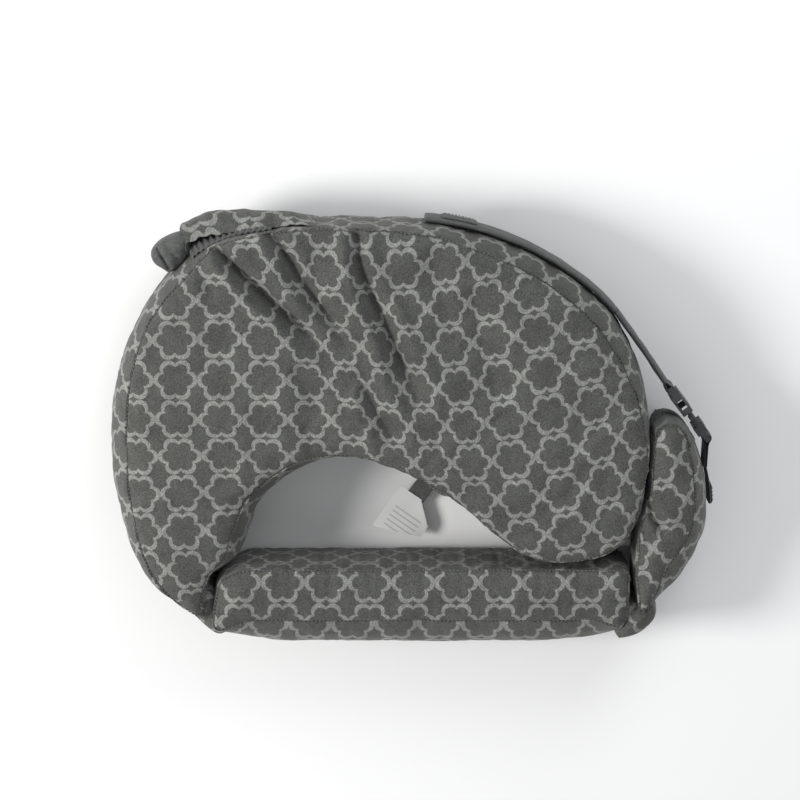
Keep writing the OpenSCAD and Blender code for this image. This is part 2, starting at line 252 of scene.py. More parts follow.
def trellis(t):
    """1 on the light outlines of a lattice of six-lobed flowers, 0 on the ground."""
    parts = t.fabric()
    wobble = t.times(t.minus(t.grain(1.2 * MM), 0.5), 1.3)

    def folded(axis, pitch):
        along = t.math("ADD", t.times(parts[axis], 1 / MM), wobble)
        share = t.math("FRACT", t.math("DIVIDE", along, pitch))
        return t.times(t.gap(share, 0.5), pitch)

    across, up = folded(0, TRELLIS_PITCH[0]), folded(1, TRELLIS_PITCH[1])

    def disc(x, y, radius):
        dx, dy = t.minus(across, x), t.minus(up, y)
        square = t.math("ADD", t.times(dx, dx), t.times(dy, dy))
        return t.minus(t.math("SQRT", square), radius)

    def lobes(centre, radius):
        slanted = disc(centre / 2, centre * math.sin(math.radians(61)), radius)
        return t.math("MINIMUM", disc(centre, 0, radius), slanted)

    outside_outer = t.times(lobes(*TRELLIS_OUTER), -1)
    soft = 0.4
    return t.ramp(t.math("MINIMUM", lobes(*TRELLIS_INNER), outside_outer), -soft, soft)


def plush(name="plush"):
    """Short pile with the light trellis printed on it."""
    t = Tree(name)
    line = trellis(t)
    base = t.mix(line, GROUND, MOTIF)
    speckle = t.grain(1.4 * MM, 3, 0.75)
    patchy = t.grain(30 * MM, 3, 0.6)
    light = t.times(t.ramp(speckle, 0.25, 0.75, 0.50, 1.55), t.ramp(patchy, 0.3, 0.7, 0.88, 1.12))
    pile = t.math("ADD", t.times(line, 0.35), speckle)
    normal = t.bump(pile, 0.6, 0.7 * MM, t.bump(t.grain(9 * MM, 3), 0.35, 1.2 * MM))
    rough = t.ramp(speckle, 0.2, 0.8, 0.95, 0.82)
    return t.finish(t.shade(base, light), rough, normal, sheen=0.16, specular=0.2)


def weave(name, colour, pitch=0.9 * MM, contrast=0.35, sheen=0.1, roughness=0.85):
    """Plain woven cloth: two sets of threads along the piece's own length and width."""
    t = Tree(name)
    turn = 2 * math.pi / pitch
    warp, weft = (t.math("SINE", t.times(part, turn)) for part in t.fabric())
    threads = t.math("MULTIPLY_ADD", t.times(warp, weft), 0.5, 0.5)
    fuzz = t.grain(3 * MM, 3)
    light = t.times(t.ramp(threads, 0, 1, 1 - contrast, 1 + contrast), t.ramp(fuzz, 0.3, 0.7, 0.82, 1.18))
    normal = t.bump(threads, 0.5, 0.25 * MM, t.bump(fuzz, 0.25, 0.6 * MM))
    rough = t.ramp(fuzz, 0.2, 0.8, roughness - 0.06, roughness + 0.08)
    return t.finish(t.shade(colour, light), rough, normal, sheen)


def foam():
    t = Tree("foam")
    inputs = {"Vector": t.place(), "Scale": 1 / (1.8 * MM)}
    cells = t.add("ShaderNodeTexVoronoi", inputs).outputs["Distance"]
    tint = t.mix(t.ramp(t.grain(40 * MM), 0.3, 0.7), (0.80, 0.74, 0.55), (0.86, 0.80, 0.62))
    # The darker colour at the cells' centres, where the bump sinks the pores, is painted shade in the pores.
    colour = t.mix(t.ramp(cells, 0.1, 0.6), (0.50, 0.45, 0.30), tint)
    return t.finish(colour, t.ramp(cells, 0, 1, 0.95, 0.8), t.bump(cells, 0.6, 0.8 * MM), 0.05)


def plastic():
    t = Tree("buckle_plastic")
    grain = t.grain(0.5 * MM, 4, 0.7)
    wear = t.ramp(t.grain(6 * MM, 3), 0.45, 0.75)
    colour = t.mix(wear, (0.045, 0.045, 0.048), (0.070, 0.070, 0.073))
    return t.finish(colour, t.ramp(grain, 0.3, 0.7, 0.42, 0.58), t.bump(grain, 0.12, 0.15 * MM), 0, 0.45)


def metal():
    t = Tree("zipper_metal")
    brushed = t.grain(0.7 * MM, 4, 0.7)
    colour = t.mix(t.ramp(brushed, 0.3, 0.7), (0.36, 0.36, 0.37), (0.60, 0.60, 0.61))
    t.surface.inputs["Metallic"].default_value = 1.0
    return t.finish(colour, t.ramp(brushed, 0.3, 0.7, 0.28, 0.5), t.bump(brushed, 0.15, 0.1 * MM), 0, 0.5)


def label_cloth():
    """White satin tape with a few plain grey bars in place of print."""
    t = Tree("label_cloth")
    across, along = t.fabric()
    spacing = 5.2 * MM
    row = t.math("FRACT", t.math("DIVIDE", along, spacing))
    bar = t.ramp(t.gap(row, 0.5), 0.10, 0.16, 1, 0)
    inside = t.times(
        t.ramp(t.math("ABSOLUTE", across), 15.5 * MM, 16.5 * MM, 1, 0),
        t.ramp(t.gap(along, 24 * MM), 12 * MM, 12.6 * MM, 1, 0),
    )
    threads = t.math("SINE", t.times(across, 2 * math.pi / (0.5 * MM)))
    printed = t.times(t.times(bar, inside), 0.42)
    colour = t.mix(printed, (0.74, 0.74, 0.74), (0.10, 0.10, 0.11))
    return t.finish(colour, t.ramp(threads, -1, 1, 0.5, 0.62), t.bump(threads, 0.2, 0.1 * MM), 0.1, 0.4)


# ---- Outlines in plan: arrays of points, anticlockwise and closed unless they are called paths ----


def outline_of(node):
    """The outline of a CAD slab's upper face."""
    mesh = frame["nodes"][node].data
    co = np.array([v.co for v in mesh.vertices])
    is_top = co[:, 2] > co[:, 2].max() - 0.01 * MM
    ids, points = {}, []
    for x, y, _ in co:
        key = (round(x, 6), round(y, 6))
        if key not in ids:
            ids[key] = len(points)
            points.append((x, y))
    at = [ids[(round(x, 6), round(y, 6))] for x, y, _ in co]
    edges = set()
    for face in mesh.polygons:
        corners = list(face.vertices)
        if all(is_top[c] for c in corners):
            around = [at[c] for c in corners]
            edges.update(zip(around, around[1:] + around[:1]))
    follow = {a: b for a, b in edges if (b, a) not in edges}
    first = min(follow)
    loop, here = [first], follow[first]
    while here != first:
        loop.append(here)
        here = follow[here]
    return np.array([points[i] for i in loop])


def clear_outline(node, folds, clearance, soft, spacing=MESH):
    """A slab's outline, evenly spaced and softened, without its points near the folds' hinges."""
    line = outline_of(node)
    for fold in folds:
        line = line[np.hypot(line[:, 0] - joints[fold].x, line[:, 1] - joints[fold].y) > clearance]
    return rounded(even(line, spacing), soft)


def even(line, spacing, closed=True):
    """The line as points about a spacing apart."""
    ends = np.vstack([line, line[:1]]) if closed else line
    run = lengths(line, closed)
    count = max(3, int(round(run[-1] / spacing)))
    at = np.linspace(0, run[-1], count + 1)[: count if closed else count + 1]
    return along(ends, run, at)


def along(line, run, at):
    """The places on a line at the distances at, where run holds the distance of each of its points."""
    return np.stack([np.interp(at, run, line[:, k]) for k in range(line.shape[1])], axis=-1)


def lengths(line, closed=True):
    """Distance along the outline from its first point to each point, and back to the first if closed."""
    ends = np.vstack([line, line[:1]]) if closed else line
    return np.concatenate([[0], np.cumsum(np.linalg.norm(np.diff(ends, axis=0), axis=1))])


def rounded(values, width):
    """Values round a closed outline, smoothed over width steps."""
    half = int(3 * width)
    kernel = np.exp(-0.5 * (np.arange(-half, half + 1) / width) ** 2)
    kernel /= kernel.sum()
    around = np.concatenate([values[-half:], values, values[:half]])
    if around.ndim == 1:
        return np.convolve(around, kernel, "valid")
    return np.stack([np.convolve(around[:, k], kernel, "valid") for k in range(around.shape[1])], axis=1)


def inward(line):
    ahead = np.roll(line, -1, axis=0) - np.roll(line, 1, axis=0)
    ahead /= np.linalg.norm(ahead, axis=1)[:, None]
    return np.stack([-ahead[:, 1], ahead[:, 0]], axis=1)


def path_normals(path):
    ahead = np.gradient(path, axis=0)
    ahead /= np.linalg.norm(ahead, axis=1)[:, None]
    return np.stack([ahead[:, 1], -ahead[:, 0]], axis=1)


def nearest(line, point):
    return int(np.argmin(np.hypot(line[:, 0] - point[0], line[:, 1] - point[1])))


def stretch_between(line, a, b):
    """The open path along a closed outline from the point nearest a to the point nearest b."""
    i, j = nearest(line, a), nearest(line, b)
    return np.array([line[k % len(line)] for k in range(i, j + 1 if j >= i else j + 1 + len(line))])


def inset_between(line, places):
    """A seam's distance in from each point of a closed outline, from (x, y, distance) places in mm."""
    run = lengths(line)
    known = sorted((run[nearest(line, (x * MM, y * MM))], depth * MM) for x, y, depth in places)
    at, depth = np.array(known).T
    at = np.concatenate([[at[-1] - run[-1]], at, [at[0] + run[-1]]])
    depth = np.concatenate([depth[-1:], depth, depth[:1]])
    return rounded(np.interp(run[:-1], at, depth), 2.5)


def smoothstep(x, low, high):
    t = np.clip((x - low) / (high - low), 0, 1)
    return t * t * (3 - 2 * t)


def grain_at(points, size, seed=0.0):
    """Smooth noise from -1 to 1 at each point, in features about size across."""
    return np.array([noise.noise(Vector(p) / size + Vector((seed, seed, seed))) for p in points])


def search_tree(points):
    tree = KDTree(len(points))
    for i, p in enumerate(points):
        tree.insert((p[0], p[1], 0), i)
    tree.balance()
    return tree


# ---- Meshes ----


def new_object(name, points, faces, uvs=None, material=None):
    mesh = bpy.data.meshes.new(name)
    mesh.from_pydata([tuple(p) for p in points], [], [tuple(int(i) for i in f) for f in faces])
    if uvs is not None:
        layer = mesh.uv_layers.new(name="fabric")
        flat = np.array([uv for face in uvs for uv in face], np.float32).ravel()
        layer.data.foreach_set("uv", flat)
    mesh.shade_smooth()
    if material is not None:
        mesh.materials.append(material)
    made = bpy.data.objects.new(name, mesh)
    bpy.context.scene.collection.objects.link(made)
    return made


def apply_modifiers(obj):
    graph = bpy.context.evaluated_depsgraph_get()
    mesh = bpy.data.meshes.new_from_object(obj.evaluated_get(graph), depsgraph=graph)
    obj.modifiers.clear()
    old = obj.data
    obj.data = mesh
    bpy.data.meshes.remove(old)


def modify(obj, kind, **settings):
    modifier = obj.modifiers.new(kind.lower(), kind)
    for key, value in settings.items():
        setattr(modifier, key, value)
    return modifier


def subdivide(obj, levels=1):
    modify(obj, "SUBSURF", levels=levels)
    apply_modifiers(obj)


def fill(ring, spacing):
    """Triangles that fill an outline. Returns the added inner points and the faces, numbered ring first."""
    low, high = ring.min(0), ring.max(0)
    row = spacing * math.sqrt(3) / 2
    inner = []
    inside, tree = inside_test(ring), search_tree(ring)
    for j in range(int((high[1] - low[1]) / row) + 1):
        y = low[1] + j * row
        for i in range(int((high[0] - low[0]) / spacing) + 2):
            x = low[0] + (i + 0.5 * (j % 2)) * spacing
            if inside(x, y) and tree.find((x, y, 0))[2] > 0.62 * spacing:
                inner.append((x, y))
    points = [Vector(p) for p in ring] + [Vector(p) for p in inner]
    n = len(ring)
    edges = [(i, (i + 1) % n) for i in range(n)]
    out = delaunay_2d_cdt(points, edges, [], 1, 1e-7)
    # The solver may reorder or merge points, so its own points are traced back to the given ones
    back = [source[0] if source else None for source in out[3]]
    faces = [[back[v] for v in face] for face in out[2]]
    return np.array(inner).reshape(-1, 2), [f for f in faces if None not in f]


def inside_test(ring):
    x1, y1 = ring[:, 0], ring[:, 1]
    x2, y2 = np.roll(x1, -1), np.roll(y1, -1)

    def test(x, y):
        crossing = (y1 > y) != (y2 > y)
        if not crossing.any():
            return False
        at = x1[crossing] + (y - y1[crossing]) * (x2 - x1)[crossing] / (y2 - y1)[crossing]
        return bool(np.count_nonzero(at > x) % 2)

    return test


class Pad:
    """A sewn cushion as one closed shell of panels: a top, a bottom and walls between two seams."""

    def __init__(
        self, line, low, high, top_inset, bottom_inset, *,
        seam_high, seam_low, crown, mesh=MESH, rings=SEAM_RINGS,
    ):
        self.line, self.low, self.into = line, low, inward(line)
        self.n, self.rows = len(line), WALL_ROWS
        self.faces, self.uvs, self.panel = [], [], []
        share = 0.5 - 0.5 * np.cos(np.pi * np.arange(self.rows + 1) / self.rows)
        lower, upper = low + seam_low, high - seam_high
        walls = []
        for v in share:
            depth = (bottom_inset if v < 0.5 else top_inset) * abs(2 * v - 1) ** WALL_SHAPE
            ring = line + self.into * depth[:, None]
            walls.append(np.column_stack([ring, np.full(self.n, lower + (upper - lower) * v)]))
        self.points = np.vstack(walls)
        self.share = np.repeat(share, self.n)
        run = lengths(line)
        for j in range(self.rows):
            low_z, high_z = walls[j][0][2], walls[j + 1][0][2]
            for i in range(self.n):
                a, b = j * self.n + i, j * self.n + (i + 1) % self.n
                start, end = run[i], run[i + 1]
                self.faces.append((a, b, b + self.n, a + self.n))
                self.uvs.append([(start, low_z), (end, low_z), (end, high_z), (start, high_z)])
                self.panel.append(("wall", i))
        self.bottom_seam = np.arange(self.n)
        self.top_seam = np.arange(self.rows * self.n, (self.rows + 1) * self.n)
        self.top_inner = self.add_cap("top", self.top_seam, high, crown, mesh, rings)
        self.bottom_inner = self.add_cap("bottom", self.bottom_seam, low, crown, 2 * mesh, rings)
        self.top_ids = np.concatenate([self.top_seam, self.top_inner])

    def add_cap(self, kind, seam, level, crown, spacing, rings):
        """Adds the panel inside a seam: close rings first, then evenly spread points."""
        ring, n, first = self.points[seam, :2], self.n, len(self.points)
        rings = [ring + inward(ring) * gap for gap in rings]
        spread, filled = fill(rings[-1] if rings else ring + inward(ring) * 0.8 * MM, spacing)
        plan = np.vstack([*rings, spread])
        far, near = seam_distance(ring, plan)
        seam_z = self.points[seam, 2][near]
        height = seam_z + (level - seam_z) * (1 - np.exp(-far / crown))
        self.points = np.vstack([self.points, np.column_stack([plan, height])])
        corners = [(r * n + i, r * n + (i + 1) % n) for r in range(len(rings)) for i in range(n)]
        faces = [[a, b, b + n, a + n] for a, b in corners]
        faces += [[v + len(rings) * n for v in face] for face in filled]
        for face in faces:
            ids = [int(seam[v]) if v < n else first + v - n for v in face]
            if kind == "bottom":
                ids.reverse()
            self.faces.append(tuple(ids))
            self.uvs.append([tuple(self.points[v][:2]) for v in ids])
            self.panel.append((kind, 0))
        return np.arange(first, len(self.points))

    def normals(self):
        mesh = bpy.data.meshes.new("scratch")
        mesh.from_pydata([tuple(p) for p in self.points], [], self.faces)
        out = np.zeros(len(self.points) * 3)
        mesh.vertex_normals.foreach_get("vector", out)
        bpy.data.meshes.remove(mesh)
        return out.reshape(-1, 3)

    def set_print(self, where):
        """Sets the fabric coordinates of the top and bottom panels, given for every point."""
        for k, (kind, _) in enumerate(self.panel):
            if kind != "wall":
                self.uvs[k] = [tuple(where[v]) for v in self.faces[k]]

    def pull_seams(self, depth=SEAM_DEPTH):
        normals = self.normals()
        for seam in (self.top_seam, self.bottom_seam):
            self.points[seam] -= normals[seam] * depth
        self.points[:, 2] = np.maximum(self.points[:, 2], self.low + 0.2 * MM)

    def roughen(self, amount, size, seed):
        """Makes the top uneven."""
        inner = self.top_inner
        self.points[inner, 2] += amount * grain_at(self.points[inner], size, seed)

    def whole(self, name, material, levels=1):
        return self.panel_object(name, lambda kind, i: True, material, levels)

    def panel_object(self, name, wanted, material, levels=1):
        """One panel, as its own object, from the faces that wanted(kind, column) picks."""
        chosen = [k for k, p in enumerate(self.panel) if wanted(*p)]
        used = sorted({v for k in chosen for v in self.faces[k]})
        new = {v: i for i, v in enumerate(used)}
        made = new_object(
            name,
            self.points[used],
            [[new[v] for v in self.faces[k]] for k in chosen],
            [self.uvs[k] for k in chosen],
            material,
        )
        if levels:
            subdivide(made, levels)
        return made


def seam_distance(ring, points):
    tree = search_tree(ring)
    found = [tree.find((x, y, 0)) for x, y in points[:, :2]]
    return np.array([f[2] for f in found]), np.array([f[1] for f in found])


def simulate(pad, held, cap):
    """Lets the shell settle as cloth under light pressure, with held as each point's pin weight."""
    body = new_object("settling", pad.points, pad.faces)
    group = body.vertex_groups.new(name="held")
    for weight in np.unique(np.round(held, 2)):
        if weight > 0:
            group.add([int(i) for i in np.nonzero(np.round(held, 2) == weight)[0]], float(weight), "REPLACE")
    cloth = modify(body, "CLOTH")
    for key, value in CLOTH.items():
        setattr(cloth.settings, key, value)
    cloth.settings.vertex_group_mass = "held"
    cloth.settings.effector_weights.gravity = 0
    cloth.collision_settings.use_collision = False
    scene = bpy.context.scene
    for step in range(1, CLOTH_FRAMES + 1):
        scene.frame_set(step)
    graph = bpy.context.evaluated_depsgraph_get()
    settled = body.evaluated_get(graph).to_mesh()
    co = np.zeros(len(settled.vertices) * 3)
    settled.vertices.foreach_get("co", co)
    moved = co.reshape(-1, 3) - pad.points
    far = np.maximum(np.linalg.norm(moved, axis=1), 1e-9)
    pad.points = pad.points + moved * (cap * np.tanh(far / cap) / far)[:, None]
    bpy.data.objects.remove(body)
    scene.frame_set(1)


def strap(
    name, path, low, high, thick, material, *,
    step=2.5 * MM, rows=12, stitched=0.12, taper=None, wave=None,
):
    """A flat band standing on edge along an open path in plan, with sewn grooves near both edges."""
    path = even(path, step, closed=False)
    side = path_normals(path)
    run = lengths(path, closed=False)
    q = np.linspace(0, 1, rows + 1)
    fullness = np.clip(1 - np.abs(2 * q - 1) ** 10, 0, 1) ** 0.5
    for at in (stitched, 1 - stitched):
        fullness *= 1 - 0.38 * np.exp(-(((q - at) / 0.045) ** 2))
    loop_q = np.concatenate([q, q[-2:0:-1]])
    loop_side = np.concatenate([fullness, -fullness[-2:0:-1]])
    points, count = [], len(loop_q)
    middle, half = (low + high) / 2, (high - low) / 2
    for k, (p, s) in enumerate(zip(path, side)):
        shrink = 1 if taper is None else taper(run[k], run[-1])
        for v, f in zip(loop_q, loop_side):
            out = f * thick / 2 + (wave(run[k], v) if wave else 0)
            points.append((p[0] + s[0] * out, p[1] + s[1] * out, middle + half * shrink * (2 * v - 1)))
    faces, uvs = [], []
    around = loop_q * (high - low) * np.where(loop_side >= 0, 1, -1)
    for k in range(len(path) - 1):
        for i in range(count):
            j = (i + 1) % count
            faces.append((k * count + i, k * count + j, (k + 1) * count + j, (k + 1) * count + i))
            v0, v1 = around[i], around[j]
            if abs(v0 - v1) > half:
                v1 = v0
            uvs.append([(run[k], v0), (run[k], v1), (run[k + 1], v1), (run[k + 1], v0)])
    for k, order in ((0, range(count - 1, -1, -1)), (len(path) - 1, range(count))):
        faces.append([k * count + i for i in order])
        uvs.append([(run[k], around[i]) for i in order])
    made = new_object(name, points, faces, uvs, material)
    subdivide(made)
    return made


def stitches(name, ring, normals, length, gap, radius, material, closed=True):
    """Short threads along a seam, each a small six-sided bar with pointed ends."""
    run = lengths(ring, closed)
    ends = np.vstack([ring, ring[:1]]) if closed else ring
    outs = np.vstack([normals, normals[:1]]) if closed else normals
    points, faces = [], []
    count = int(run[-1] / (length + gap))
    pitch = run[-1] / max(count, 1)
    for c in range(count):
        base = len(points)
        start = c * pitch + gap / 2
        for part, size in ((0, 0.25), (0.18, 1), (0.5, 1.15), (0.82, 1), (1, 0.25)):
            s = start + part * length
            p, out = along(ends, run, s), along(outs, run, s)
            ahead = along(ends, run, s + 0.2 * MM) - p
            ahead /= max(np.linalg.norm(ahead), 1e-9)
            across = np.cross(ahead, out)
            for k in range(6):
                a = math.pi * k / 3
                points.append(p + radius * size * (math.cos(a) * out + math.sin(a) * across))
        for s in range(4):
            for k in range(6):
                j = (k + 1) % 6
                faces.append((base + 6 * s + k, base + 6 * s + j, base + 6 * s + 6 + j, base + 6 * s + 6 + k))
        faces.append([base + k for k in range(5, -1, -1)])
        faces.append([base + 24 + k for k in range(6)])
    return new_object(name, points, faces, None, material)


def bevelled_copy(name, node, width, material, segments=3):
    """A copy of a hard CAD part with its edges softened."""
    mesh = frame["nodes"][node].data.copy()
    mesh.materials.clear()
    mesh.materials.append(material)
    made = bpy.data.objects.new(name, mesh)
    bpy.context.scene.collection.objects.link(made)
    modify(made, "WELD", merge_threshold=0.01 * MM)
    modify(made, "DECIMATE", decimate_type="DISSOLVE", angle_limit=math.radians(2))
    modify(
        made, "BEVEL", width=width, segments=segments, limit_method="ANGLE",
        angle_limit=math.radians(35), use_clamp_overlap=True,
    )
    apply_modifiers(made)
    made.data.shade_smooth()
    made.data.set_sharp_from_angle(angle=math.radians(40))
    return made


# ---- The cushions' folds, seams and print, all in mm ----

# Folds: a route in plan, width, depth, and how much cloth is gathered into it
FOLDS = [
    ([(-190, 188), (-185, 181), (-161, 158), (-136, 135), (-112, 115), (-93, 94), (-79, 74)], 5.5, 16.0, 13),
    ([(-144, 208), (-137, 201), (-119, 176), (-103, 148), (-87, 126), (-72, 107), (-57, 83)], 5.5, 14.0, 11),
    (
        [(-53, 208), (-51, 175), (-45, 156), (-32, 126), (-22, 104), (-10, 76), (4, 48), (17, 22)],
        5.5, 14.0, 12,
    ),
    ([(-47, 53), (-33, 27), (-18, 3), (-6, -13)], 6.0, 8.0, 6),
    ([(-98, 175), (-88, 155), (-78, 137)], 5.0, 4.5, 3),
    ([(-205, 169), (-197, 151), (-188, 131)], 5.0, 6.0, 3),
    ([(20, 187), (26, 159), (37, 121), (49, 87)], 12.0, 4.0, 3),
    ([(61, 151), (67, 113), (78, 69), (94, 29)], 14.0, 4.5, 3),
    ([(-115, 69), (-98, 43), (-82, 19)], 8.0, 4.0, 3),
]
WING_FOLDS = [
    ([(231, -62), (236, -74), (244, -89), (253, -105)], 3.5, 11.0, 0),
    ([(226, -78), (230, -92), (235, -104), (240, -118)], 3.0, 7.5, 0),
]
# Places round each cushion's outline, and how far in from it the top seam lies
CRESCENT_SEAM = [
    (-207, -192, 3), (-249, -167, 9), (-279, -125, 14), (-296, -55, 18), (-297, 20, 18.5), (-280, 87, 12.7),
    (-264, 118, 10.5), (-246, 147, 13), (-222, 172, 13.9), (-188, 192, 3), (-130, 204, 2.6), (-50, 208, 3.6),
    (31, 204, 7.5), (65, 197, 11.6), (97, 186, 13.2), (153, 156, 15.2), (199, 116, 17.5), (214, 90, 16),
    (229, 59, 13), (235, 27, 10), (238, -5, 3.9), (236, -40, 3.2), (213, -112, 3), (173, -130, 3),
    (124, -129, 3.8), (104, -118, 1.8), (40, -65, 1.8), (-10, -39, 3), (-60, -27, 6), (-105, -36, 13),
    (-135, -56, 12.5), (-155, -85, 15), (-163, -105, 15), (-174, -130, 10), (-201, -146, 2),
]
BACKREST_SEAM = [
    (-197, -205, 4), (-180, -212, 18), (-155, -218, 30), (0, -221, 31), (150, -220, 30), (190, -214, 27),
    (216, -204, 8), (221, -190, 4), (221, -141, 3), (214, -135, 2), (0, -135, 1.5), (-160, -135, 2),
    (-190, -146, 3), (-196, -165, 3), (-201, -195, 3),
]
WING_SEAM = [
    (229, -188, 2), (229, -136, 1), (237, -106, 0.5), (241, -60, 0.5), (241, -4, 2), (252, 12, 3.5),
    (268, 11, 4), (280, -5, 6), (291, -32, 12), (298, -68, 15), (294, -110, 18), (284, -132, 22),
    (272, -152, 23), (255, -170, 13), (233, -190, 3),
]
# Places round the side wing's outline, and how far it swells there
WING_FILL = [
    (229, -188, 0), (229, -158, 4.5), (229, -136, 4.5), (237, -106, 12.5), (239, -85, 9), (241, -60, 4),
    (241, -4, 1), (252, 12, 0), (268, 11, 0), (291, -32, 0), (298, -68, 0), (294, -110, 0), (272, -152, 0),
    (233, -190, 0),
]
# Centres of printed flowers: a column of the lattice, the first one's row, and places on down the column
CRESCENT_FLOWERS = [
    (-1, -1, [(-229, 18), (-226, -19), (-224, -56), (-225, -94)]),
    (0, 2, [(-187, 134), (-186, 98), (-187, 57), (-187, 16), (-182, -17), (-181, -54)]),
    (1, 3, [(-155, 173)]),
    (1, 0, [(-144, 57), (-143, 17)]),
    (2, 2, [(-110, 128), (-105, 90), (-99, 56), (-99, 17)]),
    (3, 3, [(-82, 165), (-74, 128), (-69, 90), (-61, 52), (-58, 16)]),
    (4, 3, [(-45, 165), (-40, 128), (-32, 90), (-26, 49), (-18, 12)]),
    (5, 3, [(-6, 166), (-3, 128), (3, 89), (9, 49), (17, 12), (23, -26)]),
    (6, 3, [(35, 172), (37, 128), (41, 91), (46, 51), (53, 12), (61, -25), (66, -62)]),
    (7, 2, [(75, 136), (81, 97), (87, 57), (94, 17), (101, -22), (107, -62), (113, -101)]),
    (8, 1, [(124, 104), (130, 64), (137, 23), (144, -16), (150, -55), (157, -94)]),
    (9, 1, [(165, 111), (173, 73), (179, 32), (186, -6), (192, -46), (200, -86)]),
    (10, -2, [(222, 4), (229, -37)]),
]
# The centre of one printed flower on each of the other cushions
BACKREST_FLOWER = (3, -149)
WING_FLOWER = (252, -69)


def curve_through(knots, count=60):
    """A smooth open path through a few knots."""
    knots = np.array(knots, float) * MM
    run = lengths(knots, closed=False)
    line = along(knots, run, np.linspace(0, run[-1], count))
    for _ in range(6):
        line[1:-1] = (line[:-2] + 2 * line[1:-1] + line[2:]) / 4
    return line


def fold_effect(plan, folds):
    """For plan points: the folds' heights, and how far the cloth's pattern is drawn towards each fold."""
    height = np.zeros(len(plan))
    drawn = np.zeros((len(plan), 2))
    for knots, width, depth, gathered in folds:
        path = curve_through(knots)
        side = path_normals(path)
        gap = plan[:, None, :] - path[None, :, :]
        k = np.argmin((gap**2).sum(2), axis=1)
        rows = np.arange(len(plan))
        across = (gap[rows, k] * side[k]).sum(1)
        share = k / (len(path) - 1)
        strength = smoothstep(share, -0.02, 0.08) * (1 - smoothstep(share, 0.65, 1.05)) ** 0.8
        beyond = np.linalg.norm(gap[rows, k], axis=1) - np.abs(across)
        strength = strength * np.exp(-((beyond / (6 * MM)) ** 2))
        wide = width * MM * (0.8 + 0.8 * share)
        valley = np.exp(-(np.abs(across / wide) ** 1.3))
        shoulder = np.exp(-(((np.abs(across) - 2.6 * wide) / (1.4 * wide)) ** 2))
        height += depth * MM * strength * (-valley + 0.3 * shoulder)
        reach = np.sign(across) * (1 - np.exp(-np.abs(across) / wide)) * np.exp(-((across / (55 * MM)) ** 2))
        drawn += side[k] * (gathered * MM * 0.5 * strength * reach)[:, None]
    return height, drawn


def crescent_print(plan):
    """Fabric coordinates of plan points, spread smoothly between the flowers of CRESCENT_FLOWERS."""
    flowers = np.array([
        (x, y, column, row - k)
        for column, row, places in CRESCENT_FLOWERS
        for k, (x, y) in enumerate(places)
    ])
    at = flowers[:, :2] * MM
    fabric = (flowers[:, 2:] + 0.5) * np.array(TRELLIS_PITCH) * MM

    def flat(points):
        return np.column_stack([np.ones(len(points)), points * 10])

    def far(points):
        return np.linalg.norm(points[:, None] - at[None], axis=2)

    n = len(at)
    system = np.zeros((n + 3, n + 3))
    system[:n, :n] = far(at)
    system[:n, n:] = flat(at)
    system[n:, :n] = flat(at).T
    weights = np.linalg.solve(system, np.vstack([fabric, np.zeros((3, 2))]))
    return far(plan) @ weights[:n] + flat(plan) @ weights[n:]


def press_folds(pad, folds, near, far):
    """Sinks folds into the top, from near to far inside its seam. Returns how they draw the print in."""
    top = pad.top_ids
    height, drawn = fold_effect(pad.points[top, :2], folds)
    gap, _ = seam_distance(pad.points[pad.top_seam], pad.points[top])
    pad.points[top, 2] += height * smoothstep(gap, near, far)
    return drawn


def cushion_pad(body, line, seam, share, seam_high, crown):
    """A cushion's cover. Its bottom seam lies in by a share of the top seam's distance."""
    low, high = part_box(f"{body}_bottom_cover")[0].z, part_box(f"{body}_top_cover")[1].z
    top_inset = inset_between(line, seam)
    bottom_inset = np.clip(share * top_inset + 3 * MM, 4 * MM, 10 * MM)
    return Pad(
        line, low, high + 2 * MM, top_inset, bottom_inset,
        seam_high=seam_high, seam_low=7 * MM, crown=crown,
    )


# ---- The three cushions ----


def ripple_walls(pad, amount, size, seed):
    """Small slack ripples in the walls, stronger near the seams."""
    walls = np.arange((pad.rows + 1) * pad.n)
    run = grain_at(pad.points[walls] * np.array([1, 1, 0.35]), size, seed)
    push = amount * run * (0.35 + 0.65 * np.abs(2 * pad.share - 1))
    push[(pad.share == 0) | (pad.share == 1)] = 0
    pad.points[walls, :2] -= np.tile(pad.into, (pad.rows + 1, 1)) * push[:, None]


def pucker_seam(pad, amount, pitch, reach, seed):
    """Gathers along the top seam that fade into the panel."""
    ids = pad.top_inner
    far, near = seam_distance(pad.points[pad.top_seam], pad.points[ids])
    along = lengths(pad.line)[near]
    strength = 0.5 + 0.5 * grain_at(pad.points[ids], 50 * MM, seed)
    pad.points[ids, 2] += amount * strength * np.sin(2 * math.pi * along / pitch) * np.exp(-far / reach)


def settle(pad, cap, looseness, held_also=None):
    """Cloth simulation of a shell whose seams and underside are nearly fixed."""
    held = np.full(len(pad.points), looseness)
    held[pad.top_seam] = held[pad.bottom_seam] = 0.9
    held[pad.bottom_inner] = 1.0
    if held_also is not None:
        held[held_also] = 1.0
    simulate(pad, held, cap)
    pad.pull_seams()


